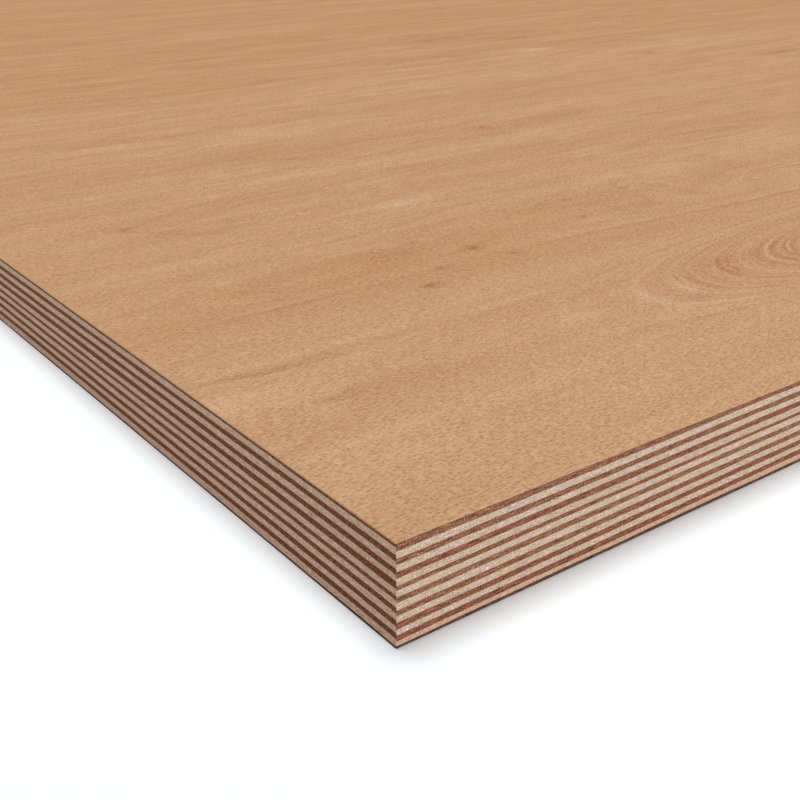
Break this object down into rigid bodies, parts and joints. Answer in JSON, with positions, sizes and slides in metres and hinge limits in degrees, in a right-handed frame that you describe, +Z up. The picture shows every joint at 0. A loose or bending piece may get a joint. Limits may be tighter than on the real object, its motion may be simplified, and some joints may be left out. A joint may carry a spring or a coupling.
{
  "type": "plywood sheet",
  "caption": "Flat rectangular plywood sheet: cross-laid dark and pale veneers under beech-like faces, with square sawn edges; panel stock for building and furniture.",
  "frame": {"origin": "centre of the sheet's underside, on the floor it lies on", "axes": "+X along the sheet's length and the grain of its faces, +Y across its width, +Z up through its thickness"},
  "size_m": [2.5, 1.25, 0.025],
  "materials": {
    "face_veneer": "sanded, unfinished",
    "dark_veneer": "sawn, unfinished",
    "pale_veneer": "sawn, unfinished"
  },
  "bodies": {
    "root": {"bottom_face_veneer": "face_veneer", "pale_ply_1": "pale_veneer", "dark_ply_1": "dark_veneer", "pale_ply_2": "pale_veneer", "dark_ply_2": "dark_veneer", "pale_ply_3": "pale_veneer", "dark_ply_3": "dark_veneer", "pale_ply_4": "pale_veneer", "dark_ply_4": "dark_veneer", "pale_ply_5": "pale_veneer", "dark_ply_5": "dark_veneer", "pale_ply_6": "pale_veneer", "dark_ply_6": "dark_veneer", "pale_ply_7": "pale_veneer", "dark_ply_7": "dark_veneer", "pale_ply_8": "pale_veneer", "top_face_veneer": "face_veneer"}
  },
  "joints": []
}
